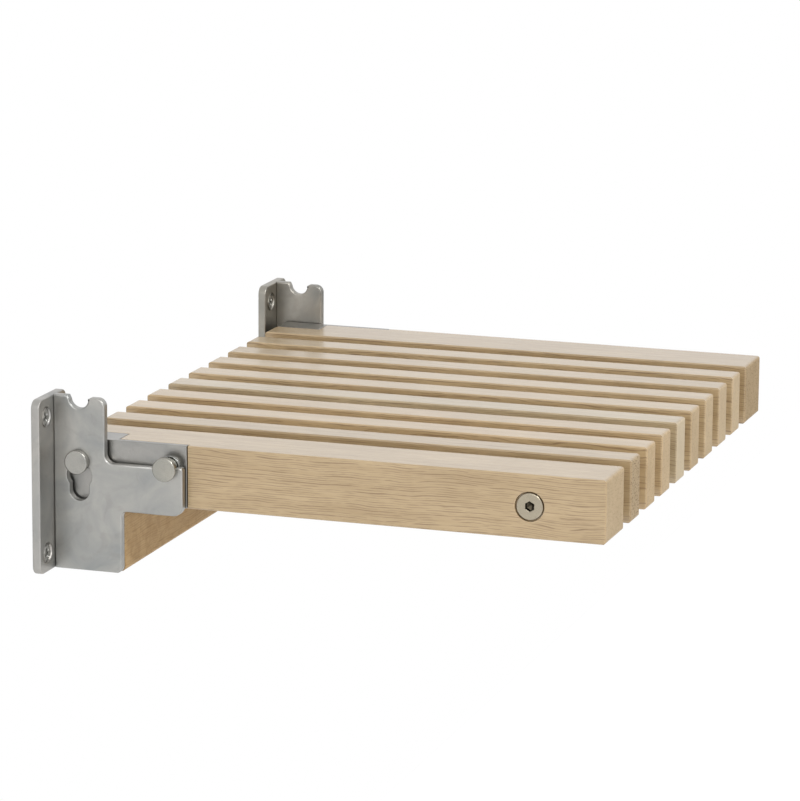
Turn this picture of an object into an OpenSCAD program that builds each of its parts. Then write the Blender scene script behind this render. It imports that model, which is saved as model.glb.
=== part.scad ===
/* [Slats] */
// Height of every slat
slat_h = 42.5; // [34:0.5:60]
// Length of every slat, from its wall end to its front end
slat_l = 371; // [250:1:500]
// Width of an inner slat
slat_w = 21.5; // [14:0.5:40]
// Width of an outer slat
outer_w = 43; // [36:0.5:60]
// Gap between two slats
slat_gap = 18; // [8:1:30]
// Rounding of the slats' ends at their top and bottom, and of the rail's edges
wood_r = 2.5; // [1:0.5:4]
// Rounding of the other edges of the slats
edge_r = 1.2; // [0.6:0.2:3]

/* [Fold] */
// Depth of both pin axes below the top of the seat
pin_down = 14.6; // [12:0.2:18]
// Distance from the rear pin axis to the wall end of the slats
tail = 10.1; // [10:0.1:14]
// Distance from the rear pin axis to the front pin axis
pin_span = 62.5; // [58:0.5:80]
// Drop of the folded seat from the top of the slot into its foot
drop = 20.4; // [19:0.2:24]
// Clearance of the swinging wall end in front of the wall flange
swing_clear = 0.4; // [0.4:0.2:4]

/* [Bracket] */
// Thickness of the wall flange
flange_t = 6; // [4:0.5:10]
// Width of the wall flange on the left of the side plate, where the screws sit
flange_wide = 24; // [20:1:40]
// Width of the wall flange on the right of the side plate
flange_narrow = 16; // [12:1:30]
// Rounding of the corners of the wall flange
flange_r = 6; // [2:0.5:10]
// Thickness of the side plate
plate_t = 6; // [4:0.5:10]
// Gap between the side plate and the seat
side_gap = 2; // [1.6:0.1:4]
// Depth of the horn in front of the rear pin axis
horn_d = 19.2; // [19:0.1:24]
// Height of the side plate above the parking notch axis
plate_above = 2.2; // [1:0.2:4]
// Drop of the horn's top below the rest of the side plate
horn_fall = 0.8; // [0:0.2:2]
// Rounding of the front corner of the horn
horn_r = 5.5; // [3:0.5:7]
// Height of the arm
arm_h = 32; // [24:1:36]
// Length of the arm in front of the front pin axis
arm_nose = 11.7; // [11:0.1:16]
// Height of the lip in front of the front pin
lip_h = 1.2; // [1:0.2:4]
// Rounding of the lower front corner of the arm
arm_r = 7; // [4:1:16]
// Fillet between the horn and the arm
horn_fillet = 6; // [3:0.5:10]
// Fillet below the arm
arm_fillet = 3.5; // [2:0.5:8]
// Rounding of the foot of the side plate
foot_r = 4; // [2:0.5:8]

/* [Pins] */
// Radius of the pin journal
pin_r = 6; // [5:0.5:6.5]
// Radius of the pin head
head_r = 8.1; // [7.5:0.1:8.5]
// Thickness of the pin head
head_t = 4; // [3:0.5:6]
// Chamfer of the pin head
head_bevel = 0.5; // [0.2:0.1:1]
// Gap between the pin head and the side plate
head_gap = 0.5; // [0.3:0.1:1.5]
// Radial play of a journal in its seat
pin_play = 0.3; // [0.2:0.05:0.5]
// Radius of the wide middle of the slot, which lets a head through
slot_eye_r = 9; // [8.8:0.1:9.4]
// Depth of the slot's wide middle below the rear pin axis
slot_eye_down = 9.6; // [8:0.2:11]
// Radius of the foot of the slot
slot_foot_r = 7; // [6.9:0.1:7.6]
// Offset of the slot and the parking notch from the rear pin axis, away from the wall
slot_off = 0.8; // [0.6:0.1:1.4]
// Radius of the parking notch
park_r = 6.8; // [6.6:0.1:7.2]
// Widening of the parking notch towards the wall at its mouth
notch_flare = 1.2; // [0.6:0.1:2]
// Radius of the washer on each journal
washer_r = 7.2; // [7:0.1:9]
// Thickness of the washer
washer_t = 1.5; // [1:0.1:1.5]

/* [Seat bracket] */
// Thickness of the plate let into the outer slat
inset_t = 4; // [3:0.5:6]
// Width of the block at the wall end
block_w = 21; // [19:0.5:26]
// Length of the block along the slat
block_l = 35; // [32:1:42]
// Gap between the front edge of the plate and the wood
inset_gap = 0.8; // [0.2:0.1:1.5]

/* [Rail] */
// Height of the rail
rail_h = 43; // [30:1:60]
// Depth of the rail in front of the wall flange
rail_d = 48; // [30:1:60]
// Clearance between the rail and the lowest sweep of the seat
rail_clear = 0.5; // [0.5:0.5:5]
// Height of the rail above the foot of the bracket
rail_lift = 0.2; // [0:0.2:4]

/* [Tie rods] */
// Radius of a tie rod
rod_r = 5; // [4.8:0.1:6.5]
// Distance from the front tie rod to the front end of the slats
rod_in = 51; // [30:1:90]
// Distance from the outer face of the seat to the front rod's end
rod_inset = 15; // [12:1:20]
// Distance from the outer face of the seat to the rear rod's end
rear_rod_inset = 12; // [8:1:16]
// Radius of a spacer
spacer_r = 8; // [7.5:0.5:12]
// Radius of the tie bolt's head
bolt_head_r = 9; // [7:0.5:12]
// Thickness of the tie bolt's head
bolt_head_t = 3.2; // [2.4:0.2:5]
// Length of the tie bolt under its head
bolt_l = 26; // [22:1:32]
// Radial gap around the tie bolt's head
bolt_ring = 1; // [0.4:0.1:2]
// Width across the flats of the tie bolt's socket
socket_af = 6; // [4:0.5:8]
// Depth of the tie bolt's socket
socket_d = 2.4; // [1:0.2:2.4]

/* [Screws] */
// Radius of a wall screw's shank
wall_screw_r = 3; // [2.5:0.1:3.5]
// Radius of a wall screw's head
wall_head_r = 5.9; // [5:0.1:6.4]
// Length of a wall screw
wall_screw_l = 50; // [35:1:80]
// Distance from a wall screw to the side plate
screw_off = 12; // [10:0.5:13]
// Distance from a wall screw to the flange's top or bottom edge
screw_edge = 13; // [10:0.5:18]
// Radius of a rail screw's shank
rail_screw_r = 2; // [1.6:0.1:2.5]
// Radius of a rail screw's head
rail_head_r = 4; // [3.4:0.1:4.4]
// Length of a rail screw
rail_screw_l = 36; // [24:1:45]
// Distance from the upper rail screw to the top of the rail
rail_screw_edge = 8; // [7:0.5:9]
// Distance from the upper rail screw to the lower one
rail_screw_pitch = 9.5; // [9.5:0.5:10.5]
// Distance from a rail screw to the side plate
rail_screw_off = 7.5; // [6:0.5:8]
// Radius of a bracket screw's shank
block_screw_r = 3; // [2.5:0.1:3.5]
// Radius of a bracket screw's head
block_head_r = 5.5; // [5:0.1:6.5]
// Length of a bracket screw inside the block
block_screw_in = 12; // [6:1:14]
// Distance from a bracket screw to the block's ends
block_screw_edge = 8; // [7:0.5:11]
// Distance from a bracket screw to the bottom of the slat
block_screw_up = 10; // [8:0.5:14]

/* [Hidden] */
$fn = 64;

// Overrun of every cut
over = 2;
// Radial gap of a thread in its tapped bore
thread_gap = 0.05;
// Radial gap of a shank or rod in its clearance hole
hole_gap = 0.2;
// Radius of the threaded end of a pin or tie bolt
thread_r = 4;
// Length of a rear pin's thread
rear_thread_l = 14;
// Length of a front pin's thread
front_thread_l = 24;
// Chamfer at the end of a thread or rod
tip_bevel = 1;
// Number of inner slats
slat_n = 8;
// Rounding of the horn above the parking notch
mouth_r = 2;
// Rounding of the arm's tip
tip_r = 2.5;
// Depth of a screw head below the face it is sunk into
head_sink = 0.5;
// Radial gap around a sunk screw head
sink_ring = 0.7;
// Radial cut of a wall screw's neck below its thread, inside the flange
neck_cut = 0.4;
// Gap between a screw's end and the wall plane
end_gap = 0.5;
// Length of a wood screw's point
point_l = 7;
// Width and depth of the cross recess in a screw head
cross_w = 1.3;
cross_d = 2;
// Share of the head's radius that the cross recess reaches
cross_share = 0.62;

half_w = outer_w + (slat_n * slat_w + (slat_n + 1) * slat_gap) / 2;
plate_in = half_w + side_gap;
plate_mid = plate_in + plate_t / 2;
plate_out = plate_in + plate_t;

// Places in front of the wall and below the top of the seat
pin_y = flange_t + norm([tail - wood_r, pin_down - wood_r]) + wood_r + swing_clear;
front_pin_y = pin_y + pin_span;
rear_y = pin_y - tail;
front_y = rear_y + slat_l;
rod_y = front_y - rod_in;
park_z = pin_span - drop - pin_down;
plate_top = park_z + plate_above;
horn_top = plate_top - horn_fall;
horn_y = pin_y + horn_d;
arm_y = front_pin_y + arm_nose;
arm_low = pin_down + arm_h;
cradle_r = pin_r + pin_play;
slot_y = pin_y + slot_off;
sweep_low = pin_down + max(norm([tail, slat_h - pin_down]), drop + tail);
rail_top = sweep_low + rail_clear;
rail_low = rail_top + rail_h;
foot = rail_low + rail_lift;
foot_y = flange_t + rail_d;
block_in = half_w - block_w;
block_wood = outer_w - block_w;
neck_r = wall_screw_r - neck_cut;

module rounded(w, h, r) {
    translate([0, r]) square([w, h - 2 * r]);
    translate([r, 0]) square([w - 2 * r, h]);
    for (x = [r, w - r], y = [r, h - r]) translate([x, y]) circle(r);
}

// The web between a right angle's legs and its rounding, inside the quadrant (u, v)
module web(x, y, u, v, r) {
    translate([x, y]) difference() {
        translate([min(u * r, 0), min(v * r, 0)]) square(r);
        translate([u * r, v * r]) circle(r);
    }
}

// A slab of the outline (distance from the wall, height) that ends at x and starts t before it
module slab(x, t) translate([x, 0, 0]) rotate([90, 0, -90]) linear_extrude(t) children();

// A place with its axis along X, at a distance from the wall and a depth below the seat's top
module along_x(x, y, down) translate([x, -y, -down]) rotate([0, 90, 0]) children();

// A turned solid with its axis along X and its profile's length from x = 0 inwards
module turned(points) rotate_extrude() polygon(points);

// A flat screw, with the outline of its shank below the head
module flat_screw(head, shank) difference() {
    turned(concat([[0, 0], [head, 0]], shank));
    for (a = [0, 90]) rotate(a) translate([-head * cross_share, -cross_w / 2, -over])
        cube([2 * head * cross_share, cross_w, cross_d + over]);
}

module plain_screw(r, head, l, point) flat_screw(head, [[r, head - r], [r, l - point], [0, l]]);

// The hole that a flat screw is sunk into, with its mouth at z = 0
module sunk_hole(r, head, l) {
    translate([0, 0, -over]) cylinder(r = r + hole_gap, h = l + over);
    translate([0, 0, -over]) cylinder(r = head + sink_ring, h = over + head_sink / 2);
    translate([0, 0, head_sink / 2])
        cylinder(r1 = head + sink_ring, r2 = r + hole_gap, h = head + sink_ring - r - hole_gap);
}

// The side outline of a slat, w thick along X, with its wall end on the right
module slat_side(w) translate([0, -rear_y, -slat_h])
    rotate([90, 0, 90]) linear_extrude(w) translate([-slat_l, 0]) rounded(slat_l, slat_h, wood_r);

module wood_bar(w) intersection() {
    translate([0, -rear_y, -slat_h]) rotate([90, 0, 0]) linear_extrude(slat_l) rounded(w, slat_h, edge_r);
    slat_side(w);
    translate([0, -rear_y - slat_l, -slat_h]) linear_extrude(slat_h) rounded(w, slat_l, edge_r);
}

// Bores for both tie rods, through w of wood
module rod_bores(w) {
    for (p = [[rod_y, slat_h / 2], [front_pin_y, pin_down]])
        along_x(-over, p[0], p[1]) cylinder(r = rod_r + hole_gap, h = w + 2 * over);
}

module slat(i) color("burlywood")
    translate([-half_w + outer_w + slat_gap + (i - 1) * (slat_w + slat_gap), 0, 0])
        difference() {
            wood_bar(slat_w);
            rod_bores(slat_w);
        }

module slat_1() slat(1);
module slat_2() slat(2);
module slat_3() slat(3);
module slat_4() slat(4);
module slat_5() slat(5);
module slat_6() slat(6);
module slat_7() slat(7);
module slat_8() slat(8);

// Places of the bracket screws, as distance from the wall and depth
function block_screw_places() = [for (y = [rear_y + block_screw_edge, rear_y + block_l - block_screw_edge])
    [y, slat_h - block_screw_up]];

module left_outer_slat() color("tan") translate([-half_w, 0, 0]) difference() {
    wood_bar(outer_w);
    rod_bores(outer_w);
    along_x(-over, rod_y, slat_h / 2)
        cylinder(r = bolt_head_r + bolt_ring, h = bolt_head_t + over);
    translate([-over, -rear_y - block_l - inset_gap, -slat_h - over])
        cube([block_w + over, block_l + inset_gap + over, slat_h + 2 * over]);
    translate([-over, -arm_y - inset_gap, -slat_h - over])
        cube([inset_t + over, arm_y - rear_y, slat_h + 2 * over]);
    for (p = block_screw_places())
        along_x(outer_w, p[0], p[1]) rotate([180, 0, 0])
            sunk_hole(block_screw_r, block_head_r, block_wood + over);
}
module right_outer_slat() mirror([1, 0, 0]) left_outer_slat();

module left_seat_bracket() color("silver") difference() {
    intersection() {
        union() {
            translate([-half_w, -arm_y, -slat_h]) cube([inset_t, arm_y - rear_y, slat_h]);
            translate([-half_w, -rear_y - block_l, -slat_h]) cube([block_w, block_l, slat_h]);
        }
        translate([-half_w, 0, 0]) slat_side(block_w);
    }
    along_x(-half_w - over, front_pin_y, pin_down)
        cylinder(r = thread_r + hole_gap, h = inset_t + 2 * over);
    along_x(-half_w - over, pin_y, pin_down)
        cylinder(r = thread_r + thread_gap, h = rear_thread_l + tip_bevel + over);
    for (p = block_screw_places())
        along_x(-block_in - block_screw_in - tip_bevel, p[0], p[1])
            cylinder(r = block_screw_r + thread_gap, h = block_screw_in + tip_bevel + over);
}
module right_seat_bracket() mirror([1, 0, 0]) left_seat_bracket();

// A pin along X: flat head, journal through the side plate, thread into the seat
module pin(y, thread_l) {
    journal = head_t + head_gap + plate_t + side_gap;
    end = journal + thread_l;
    color("gainsboro") along_x(-half_w - journal, y, pin_down)
        turned([[0, 0], [head_r - head_bevel, 0], [head_r, head_bevel], [head_r, head_t],
            [pin_r, head_t], [pin_r, journal], [thread_r, journal], [thread_r, end - tip_bevel],
            [thread_r - tip_bevel, end], [0, end]]);
}
module left_rear_pin() pin(pin_y, rear_thread_l);
module right_rear_pin() mirror([1, 0, 0]) left_rear_pin();
module left_front_pin() pin(front_pin_y, front_thread_l);
module right_front_pin() mirror([1, 0, 0]) left_front_pin();

module pin_washers() color("gainsboro")
    for (side = [0, 1], y = [pin_y, front_pin_y]) mirror([side, 0, 0])
        along_x(-half_w - washer_t, y, pin_down) difference() {
            cylinder(r = washer_r, h = washer_t);
            translate([0, 0, -over]) cylinder(r = pin_r + hole_gap, h = washer_t + 2 * over);
        }

module bracket_screws() color("silver")
    for (side = [0, 1], p = block_screw_places()) mirror([side, 0, 0])
        along_x(-half_w + outer_w - head_sink, p[0], p[1]) rotate([180, 0, 0])
            plain_screw(block_screw_r, block_head_r, block_wood + block_screw_in - head_sink, tip_bevel);

// A tie rod with a tapped bore in each end
module tie_rod(y, down, inset, bore) color("silver") {
    l = 2 * (half_w - inset);
    along_x(-l / 2, y, down) difference() {
        cylinder(r = rod_r, h = l);
        translate([0, 0, -over]) cylinder(r = thread_r + thread_gap, h = bore + over);
        translate([0, 0, l - bore]) cylinder(r = thread_r + thread_gap, h = bore + over);
    }
}
module front_tie_rod() tie_rod(rod_y, slat_h / 2, rod_inset, bolt_head_t + bolt_l - rod_inset + tip_bevel);
module rear_tie_rod()
    tie_rod(front_pin_y, pin_down, rear_rod_inset, front_thread_l - rear_rod_inset + tip_bevel);

module spacers(y, down) color("silver")
    for (i = [0:slat_n])
        along_x(-half_w + outer_w + i * (slat_w + slat_gap), y, down) difference() {
            cylinder(r = spacer_r, h = slat_gap);
            translate([0, 0, -over]) cylinder(r = rod_r + hole_gap, h = slat_gap + 2 * over);
        }
module front_spacers() spacers(rod_y, slat_h / 2);
module rear_spacers() spacers(front_pin_y, pin_down);

module left_tie_bolt() color("gainsboro") along_x(-half_w, rod_y, slat_h / 2) difference() {
    turned([[0, 0], [bolt_head_r - head_bevel, 0], [bolt_head_r, head_bevel], [bolt_head_r, bolt_head_t],
        [thread_r, bolt_head_t], [thread_r, bolt_head_t + bolt_l - tip_bevel],
        [thread_r - tip_bevel, bolt_head_t + bolt_l], [0, bolt_head_t + bolt_l]]);
    translate([0, 0, -over]) cylinder(r = socket_af / sqrt(3), h = socket_d + over, $fn = 6);
}
module right_tie_bolt() mirror([1, 0, 0]) left_tie_bolt();

// Heights of a flange's two wall screws
wall_screw_z = [plate_top - screw_edge, screw_edge - foot];
// Heights of the rail screws at one end of the rail
rail_screw_z = [-rail_top - rail_screw_edge, -rail_top - rail_screw_edge - rail_screw_pitch];

// Places of the rail screws at one end, each with its depth along Z from where it is driven
module rail_screw_places(side)
    for (z = rail_screw_z)
        translate([side * (plate_in - rail_screw_off), side < 0 ? 0 : -foot_y, z])
            rotate([side < 0 ? 90 : -90, 0, 0]) children();

// Place of a side plate's left face and of the wall screws beside it, for side -1 or 1
function plate_left(side) = side * plate_mid - plate_t / 2;
function screw_x(side) = plate_left(side) - screw_off;

// Both flanges are the same part, with the wide half on the left of the side plate
module wall_flange(side) color("silver") difference() {
    translate([plate_left(side) - flange_wide, 0, -foot]) rotate([90, 0, 0]) linear_extrude(flange_t)
        rounded(flange_wide + plate_t + flange_narrow, plate_top + foot, flange_r);
    for (z = wall_screw_z) translate([screw_x(side), -flange_t, z]) rotate([-90, 0, 0])
        sunk_hole(wall_screw_r, wall_head_r, flange_t + over);
    if (side < 0) rail_screw_places(-1) sunk_hole(rail_screw_r, rail_head_r, flange_t + over);
    else rail_screw_places(1) cylinder(r = rail_screw_r + thread_gap, h = rail_d + flange_t + over);
}
module left_wall_flange() wall_flange(-1);
module right_wall_flange() wall_flange(1);

// A wall screw's thread starts in the wall plane, below a thinner neck in the flange
module wall_screws(side) color("gainsboro")
    for (z = wall_screw_z) translate([screw_x(side), head_sink - flange_t, z]) rotate([-90, 0, 0])
        flat_screw(wall_head_r, [[neck_r, wall_head_r - neck_r], [neck_r, flange_t - head_sink],
            [wall_screw_r, flange_t - head_sink], [wall_screw_r, wall_screw_l - point_l], [0, wall_screw_l]]);
module left_wall_screws() wall_screws(-1);
module right_wall_screws() wall_screws(1);

// The left rail screws are driven from the flange's back, the right ones from the rail's front
module rail_screws() color("gainsboro") {
    rail_screw_places(-1) translate([0, 0, head_sink])
        plain_screw(rail_screw_r, rail_head_r, rail_screw_l, point_l);
    rail_screw_places(1) translate([0, 0, head_sink])
        plain_screw(rail_screw_r, rail_head_r, rail_d + flange_t - head_sink - end_gap, tip_bevel);
}

module wall_rail() color("burlywood") difference() {
    translate([-plate_in, -flange_t, -rail_low]) rotate([90, 0, 90])
        linear_extrude(2 * plate_in) translate([-rail_d, 0]) rounded(rail_d, rail_h, wood_r);
    rail_screw_places(-1) cylinder(r = rail_screw_r + thread_gap, h = rail_screw_l + over);
    rail_screw_places(1) sunk_hole(rail_screw_r, rail_head_r, rail_d + over);
}

// The slot for the rear pin: its seat, the eye that lets the head through, and its foot
module slot_outline() {
    eye_z = -pin_down - slot_eye_down;
    foot_z = slot_foot_r - pin_down - drop - cradle_r;
    translate([pin_y, -pin_down]) circle(cradle_r);
    translate([pin_y - cradle_r, eye_z]) square([2 * cradle_r, slot_eye_down]);
    translate([slot_y, eye_z]) circle(slot_eye_r);
    translate([slot_y - slot_foot_r, foot_z]) square([2 * slot_foot_r, eye_z - foot_z]);
    translate([slot_y, foot_z]) circle(slot_foot_r);
}

// The notch that the front pin is parked in when the seat is folded up
module park_outline() {
    mouth = park_r + notch_flare;
    mouth_z = plate_above + cradle_r - park_r;
    turn = atan2(mouth_z, -mouth) + acos(park_r / norm([mouth, mouth_z]));
    translate([slot_y, park_z + park_r - cradle_r]) {
        circle(park_r);
        polygon([(park_r - notch_flare / 4) * [cos(turn), sin(turn)], [park_r, 0],
            [park_r, mouth_z + over], [-mouth, mouth_z + over], [-mouth, mouth_z]]);
    }
}

module side_outline() {
    difference() {
        union() {
            translate([flange_t, -foot]) square([foot_y - flange_t, foot - pin_down]);
            translate([flange_t, -arm_low]) square([arm_y - flange_t, arm_h]);
            translate([flange_t, -arm_low]) square([horn_y - flange_t, arm_low + horn_top]);
            translate([flange_t, -arm_low]) square([slot_y - flange_t, arm_low + plate_top]);
            translate([front_pin_y, -pin_down]) square([arm_nose, lip_h]);
            web(horn_y, -pin_down, 1, 1, horn_fillet);
            web(foot_y, -arm_low, 1, -1, arm_fillet);
        }
        slot_outline();
        park_outline();
        translate([front_pin_y, -pin_down]) circle(cradle_r);
        translate([front_pin_y - cradle_r, -pin_down]) square([2 * cradle_r, lip_h + over]);
        web(horn_y, horn_top, -1, -1, horn_r);
        web(slot_y + park_r, horn_top, 1, -1, mouth_r);
        web(arm_y, lip_h - pin_down, -1, -1, tip_r);
        web(front_pin_y + cradle_r, lip_h - pin_down, 1, -1, lip_h);
        web(arm_y, -arm_low, -1, 1, arm_r);
        web(foot_y, -foot, -1, 1, foot_r);
    }
}

module left_side_plate() color("silver") slab(-plate_in, plate_t) side_outline();
module right_side_plate() mirror([1, 0, 0]) left_side_plate();

left_wall_flange();
right_wall_flange();
left_side_plate();
right_side_plate();
wall_rail();
left_wall_screws();
right_wall_screws();
rail_screws();
left_outer_slat();
right_outer_slat();
slat_1();
slat_2();
slat_3();
slat_4();
slat_5();
slat_6();
slat_7();
slat_8();
front_tie_rod();
rear_tie_rod();
front_spacers();
rear_spacers();
left_tie_bolt();
right_tie_bolt();
left_seat_bracket();
right_seat_bracket();
left_rear_pin();
right_rear_pin();
left_front_pin();
right_front_pin();
pin_washers();
bracket_screws();
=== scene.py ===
import math

import bmesh
import bpy
from mathutils import Matrix, Vector


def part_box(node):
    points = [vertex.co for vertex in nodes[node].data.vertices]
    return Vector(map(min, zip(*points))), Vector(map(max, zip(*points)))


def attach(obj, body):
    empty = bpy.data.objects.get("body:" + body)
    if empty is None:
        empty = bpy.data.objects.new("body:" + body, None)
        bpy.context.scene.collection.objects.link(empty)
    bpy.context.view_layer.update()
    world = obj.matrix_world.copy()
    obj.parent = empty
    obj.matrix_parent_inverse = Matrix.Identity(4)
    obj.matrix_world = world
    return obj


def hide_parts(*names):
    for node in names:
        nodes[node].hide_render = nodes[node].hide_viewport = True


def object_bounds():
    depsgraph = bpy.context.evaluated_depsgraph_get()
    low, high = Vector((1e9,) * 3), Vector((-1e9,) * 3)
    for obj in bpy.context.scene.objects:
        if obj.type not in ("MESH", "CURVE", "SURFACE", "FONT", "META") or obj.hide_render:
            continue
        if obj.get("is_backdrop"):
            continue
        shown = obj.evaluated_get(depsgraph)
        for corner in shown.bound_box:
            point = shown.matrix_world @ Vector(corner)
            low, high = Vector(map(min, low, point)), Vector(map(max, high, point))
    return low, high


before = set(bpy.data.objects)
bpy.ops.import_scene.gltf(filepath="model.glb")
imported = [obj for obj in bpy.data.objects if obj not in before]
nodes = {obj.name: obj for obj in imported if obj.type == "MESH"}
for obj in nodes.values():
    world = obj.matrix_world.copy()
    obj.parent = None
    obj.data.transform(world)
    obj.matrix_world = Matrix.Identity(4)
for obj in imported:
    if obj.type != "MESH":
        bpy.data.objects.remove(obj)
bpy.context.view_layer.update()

# The fold down wall seat in oak and satin steel, in metres and in the frame of its CAD: X runs
# along the wall, Y = 0 is the wall with the room towards -Y, and Z = 0 is the top of the slats.
SIDES = ("left", "right")
SEAT_HALF_WIDTH = 0.210
SAME_POINT = 2e-6

# ---------------------------------------------------------------- camera
# fitted on the edges of slats, brackets and rail in the photograph
IMAGE_W, IMAGE_H = 800, 801
FOCAL_PX = 4027.2
SENSOR_MM = 36.0
CAM_POS = Vector((-2.6190, -1.0406, 0.5955))
CAM_AZ, CAM_EL, CAM_ROLL = math.radians(-71.725), math.radians(12.311), math.radians(0.433)


def make_camera():
    data = bpy.data.cameras.new("camera")
    cam = bpy.data.objects.new("camera", data)
    bpy.context.scene.collection.objects.link(cam)
    data.sensor_width = SENSOR_MM
    data.lens = FOCAL_PX * SENSOR_MM / max(IMAGE_W, IMAGE_H)
    data.clip_start, data.clip_end = 0.05, 40.0
    level = math.cos(CAM_EL)
    back = Vector((math.sin(CAM_AZ) * level, -math.cos(CAM_AZ) * level, math.sin(CAM_EL)))
    right = (-back).cross(Vector((0, 0, 1))).normalized()
    up = right.cross(-back)
    c, s = math.cos(CAM_ROLL), math.sin(CAM_ROLL)
    right, up = c * right + s * up, -s * right + c * up
    matrix = Matrix((right, up, back)).transposed().to_4x4()
    matrix.translation = CAM_POS
    cam.matrix_world = matrix
    bpy.context.scene.camera = cam


# ---------------------------------------------------------------- node helpers
class Nodes:
    """Short calls for building the node tree of a material or the world."""

    def __init__(self, owner):
        self.owner = owner
        owner.use_nodes = True
        self.tree = owner.node_tree
        self.tree.nodes.clear()

    def put(self, socket, value):
        """Links an output to the socket, or sets the socket to a plain value."""
        if isinstance(value, bpy.types.NodeSocket):
            self.tree.links.new(value, socket)
        else:
            socket.default_value = value

    def new(self, kind, inputs=(), **props):
        """A new node; inputs are the values of its first sockets, or a dict of values by name."""
        node = self.tree.nodes.new("ShaderNode" + kind)
        for key, value in props.items():
            setattr(node, key, value)
        if isinstance(inputs, dict):
            for key, value in inputs.items():
                self.put(node.inputs[key], value)
        else:
            for socket, value in zip(node.inputs, inputs):
                self.put(socket, value)
        return node

    def math(self, op, *values):
        return self.new("Math", values, operation=op).outputs[0]

    def add(self, a, b):
        return self.math("ADD", a, b)

    def sub(self, a, b):
        return self.math("SUBTRACT", a, b)

    def mul(self, a, b):
        return self.math("MULTIPLY", a, b)

    def max(self, a, b):
        return self.math("MAXIMUM", a, b)

    def shift(self, vector, by):
        return self.new("VectorMath", (vector, by), operation="ADD").outputs["Vector"]

    def split(self, vector):
        return self.new("SeparateXYZ", (vector,)).outputs

    def join(self, x, y, z):
        return self.new("CombineXYZ", (x, y, z)).outputs[0]

    def noise(self, vector, scale, detail=2.0, rough=0.5, distort=0.0):
        values = {"Vector": vector, "Scale": scale, "Detail": detail, "Roughness": rough,
                  "Distortion": distort}
        return self.new("TexNoise", values).outputs["Fac"]

    def remap(self, value, from_min, from_max, to_min=0.0, to_max=1.0, kind="LINEAR"):
        values = (value, from_min, from_max, to_min, to_max)
        return self.new("MapRange", values, interpolation_type=kind).outputs[0]

    def step(self, value, low, high):
        """Rises smoothly from 0 at low to 1 at high."""
        return self.remap(value, low, high, kind="SMOOTHSTEP")

    def mix(self, factor, a, b):
        """A mix of two colours."""
        node = self.new("Mix", data_type="RGBA")
        for index, value in ((0, factor), (6, a), (7, b)):
            self.put(node.inputs[index], value)
        return node.outputs[2]

    def bump(self, height, distance, strength):
        values = {"Strength": strength, "Distance": distance, "Height": height}
        return self.new("Bump", values).outputs[0]

    def shader(self, kind, inputs=()):
        return self.new(kind, inputs).outputs[0]

    def either(self, factor, a, b):
        """Shader a where the factor is 0, and b where it is 1."""
        return self.shader("MixShader", (factor, a, b))

    def finish(self, shader):
        world = isinstance(self.owner, bpy.types.World)
        self.new("OutputWorld" if world else "OutputMaterial", {"Surface": shader})
        return self.owner


def material_nodes(name):
    return Nodes(bpy.data.materials.new(name))


def srgb(r, g, b):
    """An sRGB colour in 0..255 as a linear RGBA value."""
    def linear(v):
        v /= 255.0
        return v / 12.92 if v <= 0.04045 else ((v + 0.055) / 1.055) ** 2.4
    return (linear(r), linear(g), linear(b), 1.0)


def times(color, *factors):
    """An opaque colour with its red, green and blue multiplied; one factor counts for all three."""
    if len(factors) == 1:
        factors *= 3
    return tuple(v * f for v, f in zip(color, factors)) + (1.0,)


# ---------------------------------------------------------------- oak
OAK_PALE, OAK_MID, OAK_DARK = (188, 163, 124), (177, 152, 113), (153, 126, 86)
# the second colour here is painted sheen: a paler end grain that stands in for its grazing
# reflection
OAK_DEEP, OAK_END_SHEEN = (108, 81, 49), (216, 194, 160)
# two kinds of rows of pores: the spacing in mm, its phase, the dashes' noise per metre of grain,
# their greatest width as a share of the spacing, and the range of that noise in which they grow
COARSE_ROWS = (2.3, 0.0, 44.0, 0.17, 0.39, 0.62)
FINE_ROWS = (1.15, 0.37, 62.0, 0.26, 0.41, 0.62)
# how dark the coarse rows, the fine rows and the single pores are
COARSE_MARK, FINE_MARK, PORE_MARK = 0.60, 0.46, 0.26
OAK_BUMP = 0.00006


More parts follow.
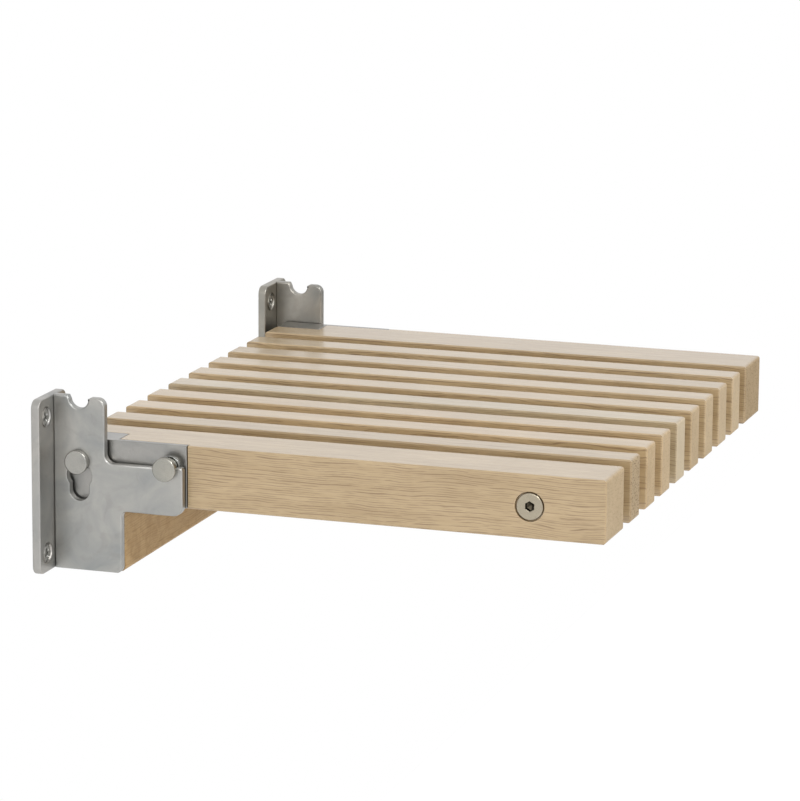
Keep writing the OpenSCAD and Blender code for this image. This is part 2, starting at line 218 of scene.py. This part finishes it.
def oak(name, seed, tone, red, rows, speck, tilt, along="Y", end_sheen=0.0, blotch=0.0, coated=True):
    """Solid oak, written as a block of the log, so that its grain runs on round every edge: rows
    of pores that break up into long thin dashes, finer pores between them, fibres, and pores as
    dots on the end grain. The grain runs along X or Y, and tilt turns the rings about it. tone and
    red shift the colours, rows and speck are the strength of the rows and of the end grain's dots,
    end_sheen is a painted sheen that makes the end grain paler, and blotch adds dark clouds."""
    k = material_nodes(name)
    coords = k.new("TexCoord").outputs
    x, y, z = k.split(coords["Object"])
    nx, ny, nz = k.split(coords["Normal"])
    if along == "X":
        x, y, ny = y, x, nx
    end = k.step(k.math("ABSOLUTE", ny), 0.5, 0.85)
    top = k.step(k.math("ABSOLUTE", nz), 0.45, 0.85)
    body = k.sub(1.0, end)
    # the block's own place in the log: v runs along the grain, u and w across it
    u = k.add(x, 0.37 * math.sin(seed * 1.7))
    v = k.add(y, seed * 0.731)
    w = k.add(z, 0.61 * math.sin(seed * 2.9 + 1.0))

    def at(fu, fv, fw):
        return k.join(k.mul(u, fu), k.mul(v, fv), k.mul(w, fw))
    # distance across the rings, bent by slow and quick waves of the grain
    slow = k.sub(k.noise(at(9, 10, 9), 1.0, 1.0), 0.5)
    quick = k.sub(k.noise(at(60, 46, 60), 1.0, 1.0), 0.5)
    straight = k.add(k.mul(u, math.cos(tilt)), k.mul(w, math.sin(tilt)))
    across = k.add(straight, k.add(k.mul(slow, 0.0075), k.mul(quick, 0.0016)))

    def pore_rows(spacing, phase, per_m, width, low, high):
        """Dashes along the rings: each row has its own noise along the grain, as their widths."""
        wander = k.mul(k.noise(at(150, 3, 150), 1.0, 1.0), 1.6)
        row = k.add(k.add(k.mul(across, 1000.0 / spacing), wander), phase)
        away = k.math("ABSOLUTE", k.sub(k.math("FRACT", row), 0.5))
        spot = k.join(k.mul(k.math("FLOOR", row), 7.31), k.mul(v, per_m), seed)
        dash = k.remap(k.noise(spot, 1.0, 2.0, 0.55), low, high)
        reach = k.add(k.mul(dash, width), 0.004)
        line = k.remap(away, 0.0, reach, 1.0, 0.0, "SMOOTHSTEP")
        return k.mul(line, k.math("MINIMUM", k.mul(dash, 2.5), 1.0))
    coarse = pore_rows(*COARSE_ROWS)
    fine = pore_rows(*FINE_ROWS)
    pore = k.step(k.noise(at(1, 0.045, 1), 2100.0, 1.0), 0.58, 0.74)
    fibre = k.noise(at(1, 0.012, 1), 2600.0, 2.0, 0.6)
    band = k.noise(at(1, 0.03, 1), 180.0, 2.0, 0.5)
    patch = k.noise(at(1, 0.5, 1), 30.0, 3.0, 0.55, 0.4)
    dots = k.step(k.noise(at(0.34, 0.1, 1), 900.0, 2.0, 0.6), 0.5, 0.68)

    def shade(rgb):
        r, g, b = rgb
        return tuple(min(1.0, v) for v in times(srgb(r + red, g, b - red), tone))
    dark = shade(OAK_DARK)
    color = k.mix(k.remap(patch, 0.36, 0.64), shade(OAK_PALE), shade(OAK_MID))
    color = k.mix(k.mul(k.remap(band, 0.4, 0.66), 0.30), color, dark)
    color = k.mix(k.mul(k.remap(fibre, 0.42, 0.72), 0.16), color, dark)
    if blotch:
        cloud = k.noise(at(1, 1, 1), 75.0, 3.0, 0.6, 1.2)
        color = k.mix(k.mul(k.step(cloud, 0.42, 0.66), blotch), color, dark)
    # the rows show on the sides and not on the end grain, which has dots; on the tops they fade as
    # painted sheen, standing in for the glare that washes them out
    share = k.mul(k.sub(1.0, k.mul(top, 0.45)), body)
    marks = k.max(k.mul(coarse, COARSE_MARK * rows), k.mul(fine, FINE_MARK * rows))
    marks = k.mul(k.max(marks, k.mul(pore, PORE_MARK)), share)
    marks = k.max(marks, k.mul(k.mul(dots, end), speck))
    color = k.mix(marks, color, shade(OAK_DEEP))
    # painted sheen: the end grain is mixed towards a paler colour that stands in for its grazing
    # reflection
    if end_sheen:
        color = k.mix(k.mul(end, end_sheen), color, shade(OAK_END_SHEEN))
    height = k.sub(k.mul(fibre, 0.15), marks)
    wear = k.add(marks, k.mul(fibre, 0.5))
    finish = {"Base Color": color, "Roughness": k.remap(wear, 0.1, 0.8, 0.42, 0.60),
              "Normal": k.bump(height, OAK_BUMP, 0.4)}
    if coated:
        finish.update({"Specular IOR Level": 0.5, "Coat Weight": body, "Coat Roughness": 0.2})
    else:
        finish["Specular IOR Level"] = 0.15
    return k.finish(k.shader("BsdfPrincipled", finish))


# ---------------------------------------------------------------- steel
STEEL_BUMP = 0.00002


def steel(name, rgb, rough, centre=None, brushed=False, clouds=0.22, seed=0.0):
    """Stainless steel: blasted satin, or turned about centre = (y, z), or brushed along Y.
    clouds is the strength of its darker smudges."""
    k = material_nodes(name)
    here = k.new("TexCoord").outputs["Object"]
    x, y, z = k.split(here)
    place = k.shift(here, (seed, seed * 0.7, seed * 0.3))
    cloud = k.noise(place, 26.0, 4.0, 0.55, 0.8)
    stain = k.step(k.noise(place, 62.0, 3.0, 0.6, 1.4), 0.52, 0.70)
    grit = k.noise(place, 2600.0, 2.0, 0.6)
    speck = k.noise(place, 700.0, 2.0, 0.6)
    height = grit
    if centre:
        dy, dz = k.sub(y, centre[0]), k.sub(z, centre[1])
        radius = k.math("SQRT", k.add(k.mul(dy, dy), k.mul(dz, dz)))
        rings = k.noise(k.join(radius, x, 0.0), 4200.0, 2.0, 0.6)
        height = k.add(k.mul(rings, 0.8), k.mul(grit, 0.3))
    elif brushed:
        height = k.noise(k.join(x, k.mul(y, 0.02), z), 3800.0, 3.0, 0.6)
    clean = srgb(*rgb)
    cool = times(clean, 1 - clouds * 1.15, 1 - clouds, 1 - clouds * 0.86)
    color = k.mix(k.remap(cloud, 0.36, 0.68), clean, cool)
    color = k.mix(k.mul(stain, clouds), color, times(clean, 0.62))
    color = k.mix(k.mul(k.remap(speck, 0.4, 0.7), 0.10), color, times(clean, 0.7))
    uneven = k.add(cloud, k.mul(grit, 0.3))
    finish = {"Base Color": color, "Metallic": 1.0,
              "Roughness": k.remap(uneven, 0.4, 0.95, rough - 0.06, rough + 0.07),
              "Normal": k.bump(height, STEEL_BUMP, 0.6)}
    return k.finish(k.shader("BsdfPrincipled", finish))


# ---------------------------------------------------------------- mesh helpers
def dress(node, material, width=0.0, segments=3):
    """Gives a CAD node its material, and eases its sharp edges by a rounding of that width."""
    o = nodes[node]
    o.data.materials.clear()
    o.data.materials.append(material)
    if not width:
        return
    weld = o.modifiers.new("weld", "WELD")
    weld.merge_threshold = SAME_POINT
    flat = o.modifiers.new("flat", "DECIMATE")
    flat.decimate_type = "DISSOLVE"
    flat.angle_limit = math.radians(0.6)
    ease = o.modifiers.new("ease", "BEVEL")
    ease.width = width
    ease.segments = segments
    ease.limit_method = "ANGLE"
    ease.angle_limit = math.radians(30)
    ease.use_clamp_overlap = False
    normals = o.modifiers.new("normals", "WEIGHTED_NORMAL")
    normals.weight = 100
    normals.keep_sharp = False
    if "custom_normal" in o.data.attributes:
        o.data.attributes.remove(o.data.attributes["custom_normal"])
    o.data.polygons.foreach_set("use_smooth", [True] * len(o.data.polygons))


def piece(name, bm, materials, node, body):
    """Makes the object of a mesh that replaces a CAD node and rides on a body."""
    mesh = bpy.data.meshes.new(name)
    bm.to_mesh(mesh)
    bm.free()
    for material in materials:
        mesh.materials.append(material)
    o = bpy.data.objects.new(name, mesh)
    bpy.context.scene.collection.objects.link(o)
    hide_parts(node)
    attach(o, body)
    return o


def pairs(ring):
    """Each point of a closed ring with the next one."""
    return zip(ring, ring[1:] + ring[:1])


def skin(bm, ring_a, ring_b, index=0, smooth=True):
    """Quads between two closed rings of as many points."""
    for (a, a_next), (b, b_next) in zip(pairs(ring_a), pairs(ring_b)):
        face = bm.faces.new((a, a_next, b_next, b))
        face.material_index, face.smooth = index, smooth


def cone(bm, ring, tip, index=0):
    for a, b in pairs(ring):
        bm.faces.new((a, b, tip)).material_index = index


def cap(bm, *rings):
    """Fills the flat face that an outer ring and the rings inside it bound."""
    edges = [bm.edges.get(pair) for ring in rings for pair in pairs(ring)]
    bmesh.ops.triangle_fill(bm, use_beauty=True, use_dissolve=False, edges=edges)


def sharpen(bm, degrees):
    """Turns the faces outwards, and marks the edges that bend by more than that as sharp."""
    bmesh.ops.recalc_face_normals(bm, faces=bm.faces)
    for edge in bm.edges:
        if edge.is_manifold and edge.calc_face_angle() > math.radians(degrees):
            edge.smooth = False


def middle(node):
    """The (y, z) of the middle of a node's box, which is a pin's or bolt's axis."""
    lo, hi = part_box(node)
    return 0.5 * (lo[1] + hi[1]), 0.5 * (lo[2] + hi[2])


# ---------------------------------------------------------------- side plates
RIM_WIDTH = 0.0012       # how far the outer rim is rounded
HOLE_RIM = 0.4           # and that of a hole, as a share of it
RIM_STEPS = 5


def signed_area(loop):
    return 0.5 * sum(a[0] * b[1] - b[0] * a[1] for a, b in pairs(loop))


def outline_loops(node, x_face):
    """The outlines, as (y, z) points with the steel on their left, of a plate's face at x_face. The
    outer one comes first."""
    bm = bmesh.new()
    bm.from_mesh(nodes[node].data)
    bmesh.ops.remove_doubles(bm, verts=bm.verts, dist=SAME_POINT)
    flat = {f for f in bm.faces
            if abs(f.normal.x) > 0.999 and abs(f.calc_center_median().x - x_face) < 1e-5}
    beside = {}
    for edge in bm.edges:
        if sum(f in flat for f in edge.link_faces) == 1:
            a, b = edge.verts
            beside.setdefault(a, []).append(b)
            beside.setdefault(b, []).append(a)
    loops, seen = [], set()
    for start in beside:
        loop, at = [], start
        while at is not None and at not in seen:
            seen.add(at)
            loop.append((at.co.y, at.co.z))
            at = next((v for v in beside[at] if v not in seen), None)
        if loop:
            loops.append(loop)
    bm.free()
    loops.sort(key=lambda loop: -abs(signed_area(loop)))
    return [loop if (signed_area(loop) > 0) == (i == 0) else loop[::-1]
            for i, loop in enumerate(loops)]


def left_normals(loop):
    """For each point of a loop, the way to its left, long enough to keep both edges' distance."""
    edges = []
    for a, b in pairs(loop):
        dy, dz = b[0] - a[0], b[1] - a[1]
        length = math.hypot(dy, dz)
        edges.append((-dz / length, dy / length))
    out = []
    for i, b in enumerate(edges):
        a = edges[i - 1]
        f = 1.0 / max(0.35, 1.0 + a[0] * b[0] + a[1] * b[1])
        out.append(((a[0] + b[0]) * f, (a[1] + b[1]) * f))
    return out


def rim_plate(node, material):
    """A flat plate across X, rebuilt from its own outline with every rim rounded."""
    lo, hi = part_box(node)
    bm = bmesh.new()
    normal = {}
    faces = ([], [])
    for i, loop in enumerate(outline_loops(node, hi[0])):
        lefts = left_normals(loop)
        soft = RIM_WIDTH if i == 0 else RIM_WIDTH * HOLE_RIM
        rings = []
        steps = range(RIM_STEPS + 1)
        for x0, way, turn in ((lo[0], 1.0, steps), (hi[0], -1.0, reversed(steps))):
            for s in turn:
                angle = 0.5 * math.pi * s / RIM_STEPS
                flat, steep = math.cos(angle), math.sin(angle)
                inset, deep = soft * (1 - steep), soft * (1 - flat)
                ring = []
                for (y, z), (ny, nz) in zip(loop, lefts):
                    v = bm.verts.new((x0 + way * deep, y + ny * inset, z + nz * inset))
                    out = -steep / math.hypot(ny, nz)
                    normal[v] = Vector((-way * flat, ny * out, nz * out)).normalized()
                    ring.append(v)
                rings.append(ring)
        for a, b in zip(rings, rings[1:]):
            skin(bm, a, b)
        faces[0].append(rings[0])
        faces[1].append(rings[-1])
    for rings in faces:
        cap(bm, *rings)
    bmesh.ops.recalc_face_normals(bm, faces=bm.faces)
    for f in bm.faces:
        f.smooth = True
    bm.verts.index_update()
    normals = [tuple(normal[v]) for v in bm.verts]
    o = piece(node + "_rounded", bm, (material,), node, "wall_frame")
    o.data.normals_split_custom_set_from_vertices(normals)


# ---------------------------------------------------------------- wall screws
HEAD_R, NECK_R, CORE_R, CREST_R = 0.0059, 0.0026, 0.0021, 0.0030
HEAD_EASE = 0.00025
THREAD_Y = 0.0           # the thread starts at the wall
PITCH = 0.0026
STEPS_PER_TURN = 10
POINTS_ROUND = 36
CROSS_ARM, CROSS_HALF, CROSS_DEEP = 0.0036, 0.0008, 0.0022
CROSS_TURN = 0.5


def screw(bm, cx, cz, head_y, end_y):
    """One flat-headed wood screw along +Y, with a helical thread and a tapered cross recess."""
    def ring(y, radius):
        """A ring about the axis; its radius is a number or a function of the angle."""
        verts = []
        for i in range(POINTS_ROUND):
            a = 2 * math.pi * i / POINTS_ROUND
            r = radius(a) if callable(radius) else radius
            verts.append(bm.verts.new((cx + r * math.cos(a), y, cz + r * math.sin(a))))
        return verts

    def thread(y):
        """The radius at y as a function of the angle: core and ridge thin out at the tip."""
        grown = min(1.0, (end_y - y) / 0.007) * min(1.0, 0.15 + (y - THREAD_Y) / 0.0004)
        core = CORE_R * min(1.0, 0.08 + (end_y - y) / 0.0085)

        def radius(a):
            turn = ((y - THREAD_Y) / PITCH - a / (2 * math.pi)) % 1.0
            ridge = max(0.0, 1.0 - abs(turn - 0.5) / 0.24)
            return core + (CREST_R - CORE_R) * ridge * grown
        return radius

    def cross(y, arm, half):
        """The outline of the recess, a cross with chamfered arms."""
        corners = ((half, -half), (arm * 0.93, -half), (arm, -half * 0.5), (arm, half * 0.5),
                   (arm * 0.93, half))
        verts = []
        for quarter in range(4):
            a = quarter * math.pi / 2 + CROSS_TURN
            for px, pz in corners:
                x, z = px * math.cos(a) - pz * math.sin(a), px * math.sin(a) + pz * math.cos(a)
                verts.append(bm.verts.new((cx + x, y, cz + z)))
        return verts
    cone_end = head_y + HEAD_EASE + (HEAD_R - NECK_R)
    rings = [ring(head_y, HEAD_R - HEAD_EASE),
             ring(head_y + HEAD_EASE * 0.3, HEAD_R - HEAD_EASE * 0.3),
             ring(head_y + HEAD_EASE, HEAD_R), ring(cone_end, NECK_R),
             ring(THREAD_Y - 0.0003, NECK_R)]
    length = end_y - THREAD_Y
    steps = int(length / (PITCH / STEPS_PER_TURN))
    for s in range(steps + 1):
        y = THREAD_Y + length * s / steps
        rings.append(ring(y, thread(y)))
    for a, b in zip(rings, rings[1:]):
        skin(bm, a, b)
    cone(bm, rings[-1], bm.verts.new((cx, end_y, cz)))
    mouth = cross(head_y, CROSS_ARM, CROSS_HALF)
    floor = cross(head_y + CROSS_DEEP, CROSS_ARM * 0.45, CROSS_HALF * 0.5)
    skin(bm, mouth, floor)
    bm.faces.new(floor)
    cap(bm, rings[0], mouth)


def wall_screws(node, material):
    lo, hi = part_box(node)
    bm = bmesh.new()
    for cz in (lo[2] + HEAD_R, hi[2] - HEAD_R):
        screw(bm, 0.5 * (lo[0] + hi[0]), cz, lo[1], hi[1])
    for f in bm.faces:
        f.smooth = True
    sharpen(bm, 38)
    piece(node + "_threaded", bm, (material,), node, "wall_frame")


# ---------------------------------------------------------------- pins and bolts
# a head's radius, thickness and rounding
PIN_HEAD = (0.0081, 0.0040, 0.0008)
BOLT_HEAD = (0.0090, 0.0032, 0.0007)
# a pin's journal runs up to the seat, and the stud beyond it goes into the seat
JOURNAL_R, STUD_R, STUD_END = 0.006, 0.004, 0.001
SOCKET_ACROSS, SOCKET_DEEP = 0.0060, 0.0042
SOCKET_LIP, SOCKET_CONE = 0.0002, 0.0016
TURNED_POINTS = 72


def head_profile(radius, thick, soft, steps=6):
    """The (depth, radius) points of a head with its edge rounded."""
    arc = []
    for i in range(steps + 1):
        angle = 0.5 * math.pi * i / steps
        arc.append((soft * (1 - math.cos(angle)), radius - soft * (1 - math.sin(angle))))
    return arc + [(thick, radius)]


def stud_profile(length):
    """The last points of a profile: a stud with a small chamfer, which ends at length."""
    return [(length - STUD_END, STUD_R), (length, STUD_R - STUD_END)]


def turned(node, suffix, profile, materials, socketed=False):
    """A pin or bolt across X, turned from the (depth, radius) points of its profile. A socketed one
    has a hexagon socket in its head, with a drilled cone as its floor, in the second material,
    which is dark as the recess's painted shade."""
    lo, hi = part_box(node)
    cy, cz = middle(node)
    x0, way = (lo[0], 1.0) if lo[0] < 0 else (hi[0], -1.0)
    bm = bmesh.new()

    def ring(deep, radius, count=TURNED_POINTS, turn=0.0):
        x, verts = x0 + way * deep, []
        for i in range(count):
            a = 2 * math.pi * i / count + turn
            verts.append(bm.verts.new((x, cy + radius * math.cos(a), cz + radius * math.sin(a))))
        return verts

    def hexagon(deep, corner):
        return ring(deep, corner, 6, math.pi / 2)
    rings = [ring(deep, radius) for deep, radius in profile]
    for a, b in zip(rings, rings[1:]):
        skin(bm, a, b)
    bm.faces.new(rings[-1])
    if socketed:
        corner = SOCKET_ACROSS / math.sqrt(3)
        lip = hexagon(0.0, corner + SOCKET_LIP)
        mouth, floor = hexagon(SOCKET_LIP, corner), hexagon(SOCKET_DEEP, corner)
        skin(bm, lip, mouth, 0, False)
        # the socket's walls and floor take the second material, the painted shade of the recess
        skin(bm, mouth, floor, 1, False)
        cone(bm, floor, bm.verts.new((x0 + way * (SOCKET_DEEP + SOCKET_CONE), cy, cz)), 1)
        cap(bm, rings[0], lip)
    else:
        bm.faces.new(rings[0])
    sharpen(bm, 25)
    piece(node + suffix, bm, materials, node, "seat")


# ---------------------------------------------------------------- the seat
# roughness of the steels, and how far the edges of the CAD's own pieces are rounded
SATIN, BRUSHED, GROUND, BRIGHT, DULL = 0.36, 0.32, 0.26, 0.24, 0.42
FLANGE_EASE, BRACKET_EASE, ROD_EASE = 0.0009, 0.0005, 0.0003

make_camera()

# each slat's tone and redness, how much its end grain is speckled, and how much painted sheen makes
# its end grain paler than its sides
SLAT_ROWS = 1.12
SLATS = {
    "left_outer_slat": (0.98, 0, 0.3, 0.18),
    "slat_1": (0.91, 0, 0.95, 0.08),
    "slat_2": (1.05, 1, 0.3, 0.12),
    "slat_3": (1.01, 1, 0.3, 0.27),
    "slat_4": (1.09, -6, 0.2, 0.55),
    "slat_5": (1.01, 0, 0.3, 0.22),
    "slat_6": (1.06, -1, 0.3, 0.3),
    "slat_7": (0.97, 0, 0.3, 0.5),
    "slat_8": (1.03, -1, 0.3, 0.4),
    "right_outer_slat": (0.90, 1, 0.5, 0.0),
}
for i, (name, (tone, red, speck, end_sheen)) in enumerate(SLATS.items()):
    seed, tilt = 3.0 + 1.37 * i, 0.85 + 0.35 * math.sin(i * 2.1)
    dress(name, oak("oak_" + name, seed, tone, red, SLAT_ROWS, speck, tilt, end_sheen=end_sheen))
# painted light: tone and red make the rail brighter and warmer, standing in for the warm light the
# slats bounce onto it and for the key lamp reaching its front less
dress("wall_rail", oak("oak_wall_rail", seed=21.0, tone=1.06, red=5.0, rows=0.5, speck=0.5,
                       tilt=0.7, along="X", blotch=0.5, coated=False))

# the right bracket's steel is a shaded copy of the left one's: a little darker and warmer, as
# painted shade and a painted warm reflection of the oak on the far bracket
plate_steel = {"left": steel("left_plate_steel", (174, 172, 167), SATIN, clouds=0.27),
               "right": steel("right_plate_steel_painted_shade", (166, 161, 152), SATIN, clouds=0.27, seed=5.3)}
flange_steel = {"left": steel("left_flange_steel", (176, 173, 168), SATIN, seed=3.1),
                "right": steel("right_flange_steel_painted_shade", (166, 161, 151), SATIN, seed=7.9)}
inlay_steel = steel("inlay_steel", (159, 157, 153), BRUSHED, brushed=True, seed=1.3)
rod_steel = steel("rod_steel", (172, 172, 169), GROUND)
pin_steel = {
    "rear": steel("rear_pin_steel", (163, 161, 155), BRIGHT, middle("left_rear_pin"), clouds=0.2),
    "front": steel("front_pin_steel", (166, 163, 154), BRIGHT, middle("left_front_pin"), clouds=0.2,
                   seed=1.7)}
bolt_steel = steel("bolt_steel", (170, 160, 141), BRIGHT, middle("left_tie_bolt"), clouds=0.12)
# painted shade: the socket's walls and floor are a dark steel that stands in for the shade inside
# the recess
socket_painted_shade = steel("socket_painted_shade", (92, 84, 70), DULL, clouds=0.3)
screw_steel = steel("screw_steel", (176, 175, 171), BRIGHT, clouds=0.12)

for side in SIDES:
    rim_plate(side + "_side_plate", plate_steel[side])
    dress(side + "_wall_flange", flange_steel[side], FLANGE_EASE)
    dress(side + "_seat_bracket", inlay_steel, BRACKET_EASE)
for name in ("front_tie_rod", "rear_tie_rod", "front_spacers", "rear_spacers", "pin_washers"):
    dress(name, rod_steel, ROD_EASE, 2)
for side in SIDES:
    for row in ("rear", "front"):
        pin = side + "_" + row + "_pin"
        lo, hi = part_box(pin)
        journal = max(-lo[0], hi[0]) - SEAT_HALF_WIDTH
        neck = [(PIN_HEAD[1], JOURNAL_R), (journal, JOURNAL_R), (journal, STUD_R)]
        profile = head_profile(*PIN_HEAD) + neck + stud_profile(hi[0] - lo[0])
        turned(pin, "_turned", profile, (pin_steel[row],))
    bolt = side + "_tie_bolt"
    lo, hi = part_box(bolt)
    profile = head_profile(*BOLT_HEAD) + [(BOLT_HEAD[1], STUD_R)] + stud_profile(hi[0] - lo[0])
    turned(bolt, "_socketed", profile, (bolt_steel, socket_painted_shade), socketed=True)
    wall_screws(side + "_wall_screws", screw_steel)
dress("rail_screws", screw_steel)
dress("bracket_screws", screw_steel)

# ---------------------------------------------------------------- stage and light
STAGE_REACH = 6.0
FLOOR_Z = -0.47
# the wall stands just behind the flanges' backs, and hides the shanks of the screws
WALL_Y, WALL_TOP = 0.0006, 2.5
# the card stands out of the picture at the front right, where the photograph's reflections are dark
CARD_X, CARD_Y, CARD_TOP = 1.3, (-1.25, -0.35), 0.05
WHITE = (1, 1, 1, 1)
FLOOR_COLOR = (0.86, 0.86, 0.86, 1)
CARD_COLOR = (0.42, 0.41, 0.38, 1)
FLOOR_GLOW_SEEN, FLOOR_GLOW_REFLECTED = 0.5, 0.25
WORLD_LIGHT = 0.72
LAMP_AIM = Vector((0, -0.2, 0))


def rectangle(a, b):
    """The corners, in turn, of a rectangle from the two ends of each of its sides."""
    return (a[0], b[0]), (a[1], b[0]), (a[1], b[1]), (a[0], b[1])


def stage_plane(name, corners, material):
    mesh = bpy.data.meshes.new(name)
    mesh.from_pydata(corners, [], [(0, 1, 2, 3)])
    mesh.materials.append(material)
    o = bpy.data.objects.new(name, mesh)
    bpy.context.scene.collection.objects.link(o)
    o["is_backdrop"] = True


def wall_material():
    """White to the camera from the room's side; not there for any other ray or from behind."""
    k = material_nodes("wall_white")
    camera = k.new("LightPath").outputs["Is Camera Ray"]
    behind = k.new("NewGeometry").outputs["Backfacing"]
    glow = k.shader("Emission", (WHITE, 1.0))
    shown = k.mul(camera, k.sub(1.0, behind))
    return k.finish(k.either(shown, k.shader("BsdfTransparent"), glow))


def floor_material():
    """Pale, with a glow that only the camera and reflections see. From below it is clear to the
    camera."""
    k = material_nodes("floor_pale")
    path = k.new("LightPath").outputs
    camera = path["Is Camera Ray"]
    reflected = k.max(path["Is Glossy Ray"], path["Is Transmission Ray"])
    strength = k.add(k.mul(camera, FLOOR_GLOW_SEEN), k.mul(reflected, FLOOR_GLOW_REFLECTED))
    glow = k.shader("Emission", {"Strength": strength})
    pale = k.shader("BsdfDiffuse", {"Color": FLOOR_COLOR})
    lit = k.shader("AddShader", (pale, glow))
    below = k.mul(k.new("NewGeometry").outputs["Backfacing"], camera)
    return k.finish(k.either(below, lit, k.shader("BsdfTransparent")))


def card_material():
    """Grey to reflections, and not there for any other ray."""
    k = material_nodes("card_grey")
    glossy = k.new("LightPath").outputs["Is Glossy Ray"]
    grey = k.shader("BsdfDiffuse", {"Color": CARD_COLOR})
    return k.finish(k.either(glossy, k.shader("BsdfTransparent"), grey))


def make_world():
    """White to the camera, reflections and glass, and a softer light on everything else."""
    world = bpy.data.worlds.new("world")
    bpy.context.scene.world = world
    k = Nodes(world)
    path = k.new("LightPath").outputs
    reflected = k.max(path["Is Glossy Ray"], path["Is Transmission Ray"])
    shown = k.max(path["Is Camera Ray"], reflected)
    soft = k.shader("Background", (WHITE, WORLD_LIGHT))
    white = k.shader("Background", (WHITE, 1.0))
    k.finish(k.either(shown, soft, white))


def lamp(name, at, size, power):
    """An area lamp of size = (width, height), aimed at the seat."""
    data = bpy.data.lights.new(name, "AREA")
    data.energy = power
    data.shape = "RECTANGLE"
    data.size, data.size_y = size
    o = bpy.data.objects.new(name, data)
    o.location = at
    o.rotation_mode = "QUATERNION"
    o.rotation_quaternion = (LAMP_AIM - Vector(at)).to_track_quat("-Z", "Y")
    bpy.context.scene.collection.objects.link(o)


across = (-STAGE_REACH, STAGE_REACH)
stage_plane("floor", [(x, y, FLOOR_Z) for x, y in rectangle(across, across)], floor_material())
upright = rectangle(across, (FLOOR_Z, WALL_TOP))
stage_plane("wall", [(x, WALL_Y, z) for x, z in upright], wall_material())
upright = rectangle(CARD_Y, (FLOOR_Z, CARD_TOP))
stage_plane("card", [(CARD_X, y, z) for y, z in upright], card_material())
make_world()
lamp("key", (-3.2, -0.7, 1.1), (2.0, 1.8), 28.5)
lamp("spark", (-0.9, -1.6, 1.8), (0.5, 0.5), 19.5)

bpy.context.scene.view_settings.view_transform = "Standard"

lo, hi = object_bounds()
